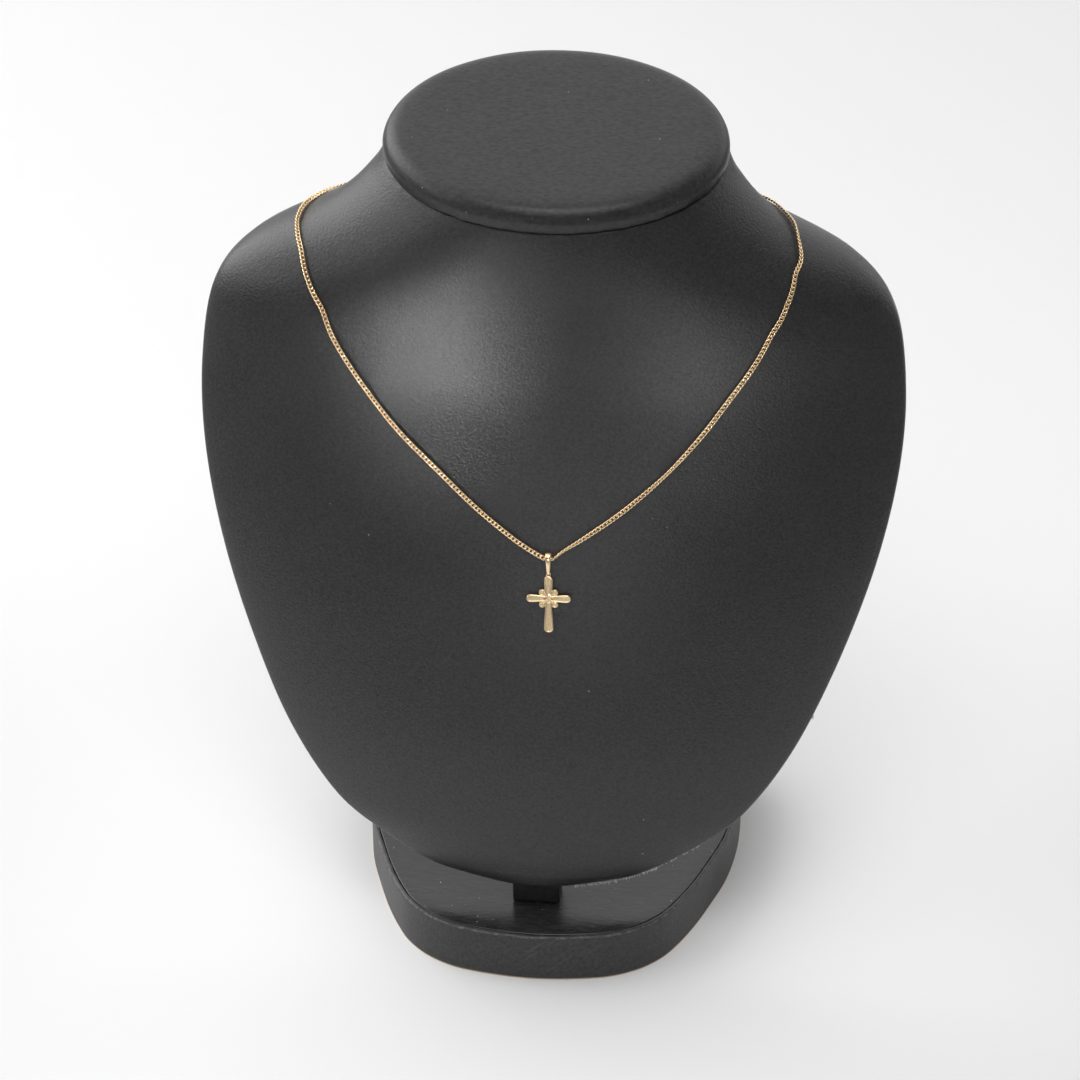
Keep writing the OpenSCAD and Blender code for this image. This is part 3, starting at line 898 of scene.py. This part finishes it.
def make_cross():
    """The cast cross: four arms, four scrolls, the boss and the lug as one mesh on the chest."""
    arms = [arm_rings(*arm) for arm in CROSS_ARMS]
    curls = [curl_rings(x * CURL_PLACE, y * CURL_PLACE, x * y) for x in (-1, 1) for y in (-1, 1)]
    grids, fields = zip(*arms, *curls)
    points, quads, triangles = join_tubes([*grids, boss_rings()])
    lug, lug_quads = join_rings([lug_ring()], len(points))
    points, quads = laid_cross(np.vstack([points, lug])), np.vstack([quads, lug_quads])
    masks = {"field": np.concatenate([np.append(field, [0, 0]) for field in fields])}
    return make_piece("cross_cast", points, quads, triangles, "gold", ["cross"], masks)


# Materials


def grey(value, blue=0.0):
    """A grey with its alpha, a little bluer if asked for."""
    return value, value, value + blue, 1


class Pattern:
    """A shader node tree being built. Each method adds a node, and most give back its output."""

    def __init__(self, tree):
        self.tree = tree

    def give(self, socket, value):
        """A link or a fixed value for a socket."""
        if isinstance(value, bpy.types.NodeSocket):
            self.tree.links.new(value, socket)
        else:
            socket.default_value = value

    def node(self, kind, inputs=None, **settings):
        """Any node, with its own settings and a value or a link for each of its inputs."""
        node = self.tree.nodes.new("ShaderNode" + kind)
        for key, value in settings.items():
            setattr(node, key, value)
        for key, value in (inputs or {}).items():
            self.give(node.inputs[key], value)
        return node

    def calc(self, operation, *values, clamp=False):
        """Arithmetic on numbers."""
        inputs = dict(enumerate(values))
        return self.node("Math", inputs, operation=operation, use_clamp=clamp).outputs[0]

    def times(self, a, b, plus=None):
        """Two numbers multiplied, and a third added if there is one."""
        if plus is None:
            return self.calc("MULTIPLY", a, b)
        return self.calc("MULTIPLY_ADD", a, b, plus)

    def vector(self, operation, a, b):
        """Arithmetic on vectors."""
        return self.node("VectorMath", {0: a, 1: b}, operation=operation).outputs[0]

    def parts(self, vector):
        """The X, Y and Z of a vector."""
        return self.node("SeparateXYZ", {"Vector": vector}).outputs

    def mix(self, share, first, second):
        """A blend of two colours."""
        return self.node("Mix", {0: share, 6: first, 7: second}, data_type="RGBA").outputs[2]

    def ramp(self, value, low, high, smooth=False):
        """0 at low and 1 at high, straight or smooth between them."""
        inputs = {"Value": value, "From Min": low, "From Max": high}
        kind = "SMOOTHSTEP" if smooth else "LINEAR"
        return self.node("MapRange", inputs, interpolation_type=kind).outputs[0]

    def noise(self, vector, scale, detail, roughness=0.5, output="Fac"):
        """Cloudy noise."""
        inputs = {"Vector": vector, "Scale": scale, "Detail": detail, "Roughness": roughness}
        return self.node("TexNoise", inputs).outputs[output]

    def mask(self, name):
        """A mask stored at the mesh's points, or 0 where there is none."""
        return self.node("Attribute", attribute_name=name).outputs["Fac"]


def new_group(name, inputs, outputs):
    """An empty node group: its pattern, what it is given, with a place first, and what it gives."""
    tree = bpy.data.node_groups.new(name, "ShaderNodeTree")
    number, vector = "NodeSocketFloat", "NodeSocketVector"
    for key, value in {"Vector": None, **inputs}.items():
        kind = number if isinstance(value, float) else vector
        socket = tree.interface.new_socket(key, in_out="INPUT", socket_type=kind)
        if value is not None:
            socket.default_value = value
    for key in outputs:
        tree.interface.new_socket(key, in_out="OUTPUT", socket_type=number)
    given = tree.nodes.new("NodeGroupInput").outputs
    return Pattern(tree), given, tree.nodes.new("NodeGroupOutput").inputs


def grain_group():
    """Leatherette grain: pebbles from cell edges, broken up by noise, with finer grit over them."""
    inputs = {"Pebble": 0.9, "Stretch": (1, 1, 1)}
    p, given, result = new_group("leather_grain", inputs, ["Height", "Patches", "Speckle"])
    stretched = p.vector("MULTIPLY", given["Vector"], given["Stretch"])
    per_metre = p.calc("DIVIDE", 1000.0, given["Pebble"])
    warp = p.noise(stretched, p.times(per_metre, 0.5), 2.0, output="Color")
    warped = p.vector("ADD", stretched, p.vector("MULTIPLY", warp, (0.6 * MM,) * 3))
    inputs = {"Vector": warped, "Scale": per_metre, "Smoothness": 0.6}
    cells = p.node("TexVoronoi", inputs, feature="SMOOTH_F1").outputs["Distance"]
    grit = p.noise(stretched, p.times(per_metre, 2.7), 3.0)
    mottle = p.noise(stretched, p.times(per_metre, 0.8), 2.0)
    pebbles = p.calc("SUBTRACT", 1.0, cells)
    p.give(result["Height"], p.times(grit, 0.55, plus=pebbles))
    p.give(result["Patches"], p.noise(given["Vector"], 55.0, 3.0, 0.6))
    p.give(result["Speckle"], p.ramp(mottle, 0.32, 0.68))
    return p.tree


def dust_group():
    """Dust: a round speck, small and of random size, in a few of many cells."""
    inputs = {"Apart": 5.0, "Share": 0.3, "Size": 0.16}
    p, given, result = new_group("dust_specks", inputs, ["Mask"])
    per_metre = p.calc("DIVIDE", 1000.0, given["Apart"])
    cells = p.node("TexVoronoi", {"Vector": given["Vector"], "Scale": per_metre}).outputs
    chance = p.node("SeparateColor", {"Color": cells["Color"]}).outputs
    reach = p.calc("DIVIDE", p.times(given["Size"], chance["Red"]), given["Apart"])
    inside = p.calc("LESS_THAN", cells["Distance"], reach)
    chosen = p.calc("LESS_THAN", chance["Green"], given["Share"])
    p.give(result["Mask"], p.times(inside, chosen))
    return p.tree


def wear_and_highlight_group():
    """Wear and painted highlight on a fold: its mask, broken up by noise and narrowed to its
    strongest parts.
    """
    inputs = {"Fold": 0.0, "Amount": 0.5, "Break": 260.0}
    p, given, result = new_group("fold_wear_and_highlight", inputs, ["Mask"])
    noise = p.noise(given["Vector"], given["Break"], 5.0, 0.65)
    least = p.calc("SUBTRACT", 0.75, given["Amount"])
    p.give(result["Mask"], p.ramp(p.times(noise, given["Fold"]), least, 0.8))
    return p.tree


GRAIN = grain_group()
DUST = dust_group()
WEAR_AND_HIGHLIGHT = wear_and_highlight_group()
DUST_COLOUR = (0.5, 0.49, 0.47, 1)


class Surface(Pattern):
    """A material whose patterns read the object's own coordinates."""

    def __init__(self, name):
        self.material = bpy.data.materials.new(name)
        self.material.use_nodes = True
        super().__init__(self.material.node_tree)
        self.shader = self.tree.nodes["Principled BSDF"]
        self.place = self.node("TexCoord").outputs["Object"]

    def use(self, group, **inputs):
        """The outputs of one use of a node group."""
        return self.node("Group", {"Vector": self.place, **inputs}, node_tree=group).outputs

    def wear_and_highlight(self, **inputs):
        """Where the fold is paler: rubbed wear, and on the leather a painted highlight too."""
        return self.use(WEAR_AND_HIGHLIGHT, Fold=self.mask("fold"), **inputs)["Mask"]

    def dust(self, share, apart, size=0.16):
        """Specks of dust, in a share of cells some millimetres apart."""
        return self.use(DUST, Share=share, Apart=apart, Size=size)["Mask"]

    def dress(self, colour, roughness, height=None, strength=1.0, depth=0, specular=0.5, more=None):
        """Gives the shader its colour, gloss, a bump some millimetres deep and fixed values."""
        inputs = {"Base Color": colour, "Roughness": roughness, "Specular IOR Level": specular}
        if height is not None:
            bump = {"Height": height, "Strength": strength, "Distance": depth * MM}
            inputs["Normal"] = self.node("Bump", bump).outputs["Normal"]
        for key, value in {**inputs, **(more or {})}.items():
            self.give(self.shader.inputs[key], value)
        return self.material


def leather(name, tone, blue, roughness, pebble, stretch, bump, wear_and_highlight_amount, dust, apart, specular):
    """Black leatherette: grain in its height, patches in its gloss, paler folds from wear and a
    painted highlight, painted shade in the gaps at its edges and a little dust."""
    m = Surface(name)
    grain = m.use(GRAIN, Pebble=pebble, Stretch=stretch)
    specks = m.dust(dust, apart, 0.2)
    darker, paler = (grey(tone * k, blue * k) for k in (0.45, 1.55))
    shade = m.times(grain["Speckle"], 0.7, plus=m.times(grain["Patches"], 0.3))
    base = m.mix(shade, darker, paler)
    # Paler on folds: rubbed wear with a painted highlight along the chest's edge and welt, and a
    # painted highlight on the cap's lip.
    base = m.mix(m.times(m.wear_and_highlight(Amount=wear_and_highlight_amount), 0.35), base, grey(0.16))
    # Painted shade: nearly black in the gap behind the chest's fold and under the cap's lower edge.
    base = m.mix(m.times(m.mask("seam"), 0.8), base, grey(0.008))
    base = m.mix(specks, base, DUST_COLOUR)
    uneven = m.times(grain["Patches"], 0.16, plus=roughness - 0.08)
    dull = m.calc("ADD", uneven, m.times(specks, 0.4), clamp=True)
    height = m.calc("ADD", grain["Height"], m.times(specks, 0.6))
    return m.dress(base, dull, height, 1.0, bump, specular=specular)


def thread():
    """Pale matte thread of the frayed backing, greyer in places."""
    m = Surface("frayed_thread")
    return m.dress(m.mix(m.noise(m.place, 900.0, 2.0), grey(0.3), (0.8, 0.79, 0.76, 1)), 0.8)


def cloth():
    """Black flock on the board: short fibres as fine noise, with sheen."""
    m = Surface("black_flock")
    fibres = m.noise(m.place, 2600.0, 4.0, 0.7)
    base = m.mix(m.noise(m.place, 60.0, 3.0), grey(0.012, 0.001), grey(0.03, 0.001))
    base = m.mix(m.dust(0.5, 4.0), base, DUST_COLOUR)
    sheen = {"Sheen Weight": 0.35, "Sheen Roughness": 0.5}
    return m.dress(base, 0.95, fibres, 0.8, 0.25, more=sheen)


def wall():
    """The base's side: satin black with scuffs on its upper edge, slanting scratches and a bare
    lower edge."""
    m = Surface("base_wall_black")
    grain = m.use(GRAIN, Pebble=0.7, Stretch=(1, 1, 1))
    rubbed = m.wear_and_highlight(Amount=0.4, Break=800.0)
    bare = m.ramp(m.parts(m.place)["Z"], 0.6 * MM, 0.4 * MM)
    inputs = {"Vector": m.place, "Rotation": (0, math.radians(50), 0), "Scale": (1, 1, 9)}
    slanted = m.node("Mapping", inputs, vector_type="TEXTURE").outputs[0]
    lines = m.ramp(m.noise(slanted, 1100.0, 2.0), 0.55, 0.7)
    scratched = m.times(lines, m.ramp(grain["Patches"], 0.5, 0.62))
    base = m.mix(grain["Speckle"], grey(0.014, 0.001), grey(0.034, 0.002))
    base = m.mix(m.times(scratched, 0.2), base, grey(0.14))
    base = m.mix(m.times(rubbed, 0.5), base, (0.34, 0.33, 0.32, 1))
    base = m.mix(bare, base, (0.5, 0.36, 0.24, 1))
    base = m.mix(m.dust(0.5, 4.0), base, DUST_COLOUR)
    gloss = m.times(grain["Patches"], 0.2, plus=0.34)
    height = m.times(scratched, -0.25, plus=grain["Height"])
    return m.dress(base, gloss, height, 0.7, 0.03)


def panel():
    """The base's top: satin black brushed from side to side, with specks."""
    m = Surface("base_panel_satin")
    brushed = m.node("Mapping", {"Vector": m.place, "Scale": (0.22, 1, 1)}).outputs[0]
    streaks = m.noise(brushed, 1300.0, 3.0, 0.6)
    base = m.mix(streaks, grey(0.0), grey(0.044, 0.002))
    base = m.mix(m.dust(0.8, 2.5, 0.18), base, DUST_COLOUR)
    gloss = m.times(m.noise(m.place, 70.0, 4.0), 0.1, plus=0.19)
    return m.dress(base, gloss, streaks, 1.0, 0.05, specular=0.55)


def gold(name, colour, roughness, bump, pit_size=None):
    """Pale gold: polished and finely scratched, and dull and pitted where the field mask says."""
    m = Surface(name)
    noise = m.noise(m.place, 2200.0, 3.0)
    base = m.mix(noise, tuple(c * 0.94 for c in colour) + (1,), tuple(colour) + (1,))
    gloss = m.times(noise, 0.1, plus=roughness)
    height = m.times(noise, 0.25)
    if pit_size:
        inside = m.mask("field")
        inputs = {"Vector": m.place, "Scale": 1 / (pit_size * MM)}
        pits = m.node("TexVoronoi", inputs).outputs["Distance"]
        shade = m.times(inside, m.calc("SUBTRACT", 1.05, pits))
        base = m.mix(m.times(shade, 0.85), base, (0.4, 0.265, 0.13, 1))
        gloss = m.times(inside, 0.2, plus=gloss)
        height = m.times(inside, pits, plus=height)
    return m.dress(base, gloss, height, 0.8, bump, more={"Metallic": 1.0})


def pale_floor():
    """The floor: plain, pale and matte, with painted shade: a little darker at both sides in front,
    and painted dark beyond about half a metre, standing in for the unlit room.
    """
    m = Surface("floor_white")
    parts = m.parts(m.place)
    in_front = m.calc("MINIMUM", parts["Y"], 0.0)
    away = m.node("CombineXYZ", {"X": parts["X"], "Y": in_front}).outputs[0]
    reach = m.node("VectorMath", {0: away}, operation="LENGTH").outputs["Value"]
    aside = m.ramp(m.calc("ABSOLUTE", parts["X"], 0.0), 0.07, 0.2, smooth=True)
    near = m.ramp(parts["Y"], 0.2, 0.0, smooth=True)
    # Painted shade: a little darker at both sides near the front.
    pale = m.mix(m.times(aside, near), grey(0.81), grey(0.73))
    # Painted shade: dark beyond about half a metre, standing in for the unlit room past the floor's
    # edge.
    pale = m.mix(m.ramp(reach, 0.38, 0.56, smooth=True), pale, grey(0.2))
    return m.dress(pale, 0.9, specular=0.2)


# The studio

FLOOR_REACH = 6.0


def make_floor():
    """A wide pale floor just under the base."""
    mesh = bpy.data.meshes.new("floor")
    r = FLOOR_REACH
    mesh.from_pydata([(-r, -r, 0), (r, -r, 0), (r, r, 0), (-r, r, 0)], [], [(0, 1, 2, 3)])
    floor = put_in_scene("floor", mesh)
    floor.data.materials.append(pale_floor())


def make_light(name, place, aim, size, power, spread):
    """A soft rectangular light at a place, in metres, turned to what it lights."""
    data = bpy.data.lights.new(name, "AREA")
    data.shape = "RECTANGLE"
    data.size, data.size_y = size
    data.energy = power
    data.spread = math.radians(spread)
    place = np.array(place, float)
    back = unit(place - np.array(aim, float))
    right = unit(np.cross([0, 0, 1.0], back))
    light = put_in_scene(name, data, right, np.cross(back, right), back, place)
    light.visible_camera = False


def make_world():
    """A studio round the bust: white behind, above and to the left, and a darker room behind the
    camera."""
    world = bpy.data.worlds.new("studio")
    world.use_nodes = True
    bpy.context.scene.world = world
    p = Pattern(world.node_tree)
    way = p.parts(p.node("TexCoord").outputs["Generated"])
    back_left = p.times(way["X"], -0.3, plus=way["Y"])
    room = p.mix(p.ramp(way["Z"], 0.08, 0.35, smooth=True), grey(0.46), grey(0.13))
    white = p.ramp(back_left, -0.4, 0.35, smooth=True)
    sky = world.node_tree.nodes["Background"].inputs
    p.give(sky["Color"], p.mix(white, room, grey(1.0)))
    sky["Strength"].default_value = WORLD


WORLD = 1.12
LIGHTS = [
    # name, place, aim, size, power, spread
    ("sky_left", (-1.25, 0.6, 0.95), (0, 0, 0.15), (1.3, 1.3), 13.5, 180),
    ("soft_left", (-1.0, -0.45, 0.65), (-0.05, 0, 0.15), (0.6, 0.6), 1.8, 180),
    ("sky_front", (0, -1.2, 1.8), (0, -0.4, 0), (1.5, 1.5), 3.4, 60),
    ("card_left", (-0.137, -0.37, 0.09), (-0.031, -0.013, 0.172), (0.04, 0.04), 0.0035, 10),
    ("card_right", (0.115, -0.37, 0.085), (0.039, -0.011, 0.169), (0.04, 0.04), 0.0008, 9),
    ("card_front", (0.012, -0.4, 0.165), (0.002, -0.026, 0.125), (0.07, 0.05), 0.0013, 16),
]

# The bust and the necklace

LEATHERS = [
    # name, tone, blue, roughness, pebble, stretch, bump, wear and painted highlight, dust, apart,
    # specular
    ("chest_leatherette", 0.021, 0.0008, 0.33, 0.64, (1, 1, 1.2), 0.08, 0.4, 0.35, 5.0, 0.5),
    ("cap_leatherette", 0.022, 0.0006, 0.38, 0.75, (0.6, 1, 1), 0.045, 0.5, 0.8, 4.0, 0.44),
    ("post_leatherette", 0.012, 0.0, 0.5, 0.8, (1, 1, 1), 0.03, 0.2, 0.2, 5.0, 0.3),
]
chest_leather, cap_leather, post_leather = (leather(*row) for row in LEATHERS)
polished = gold("gold_polished", (1.0, 0.76, 0.46), 0.11, 0.004)
cast = gold("gold_cast", (1.0, 0.8, 0.52), 0.11, 0.05, pit_size=0.2)

chest = make_chest()
cap = make_cap()
for piece, material in (
    (chest, chest_leather),
    (cap, cap_leather),
    (make_fray(), thread()),
    (make_board(), cloth()),
    (make_post(), post_leather),
    (make_base(), wall()),
    (make_panel(), panel()),
    (make_chain(), polished),
    (make_clasp(), polished),
    (make_bail(), polished),
    (make_cross(), cast),
):
    piece.data.materials.append(material)
bpy.context.scene.view_settings.view_transform = "Standard"
make_floor()
make_world()
for light in LIGHTS:
    make_light(*light)
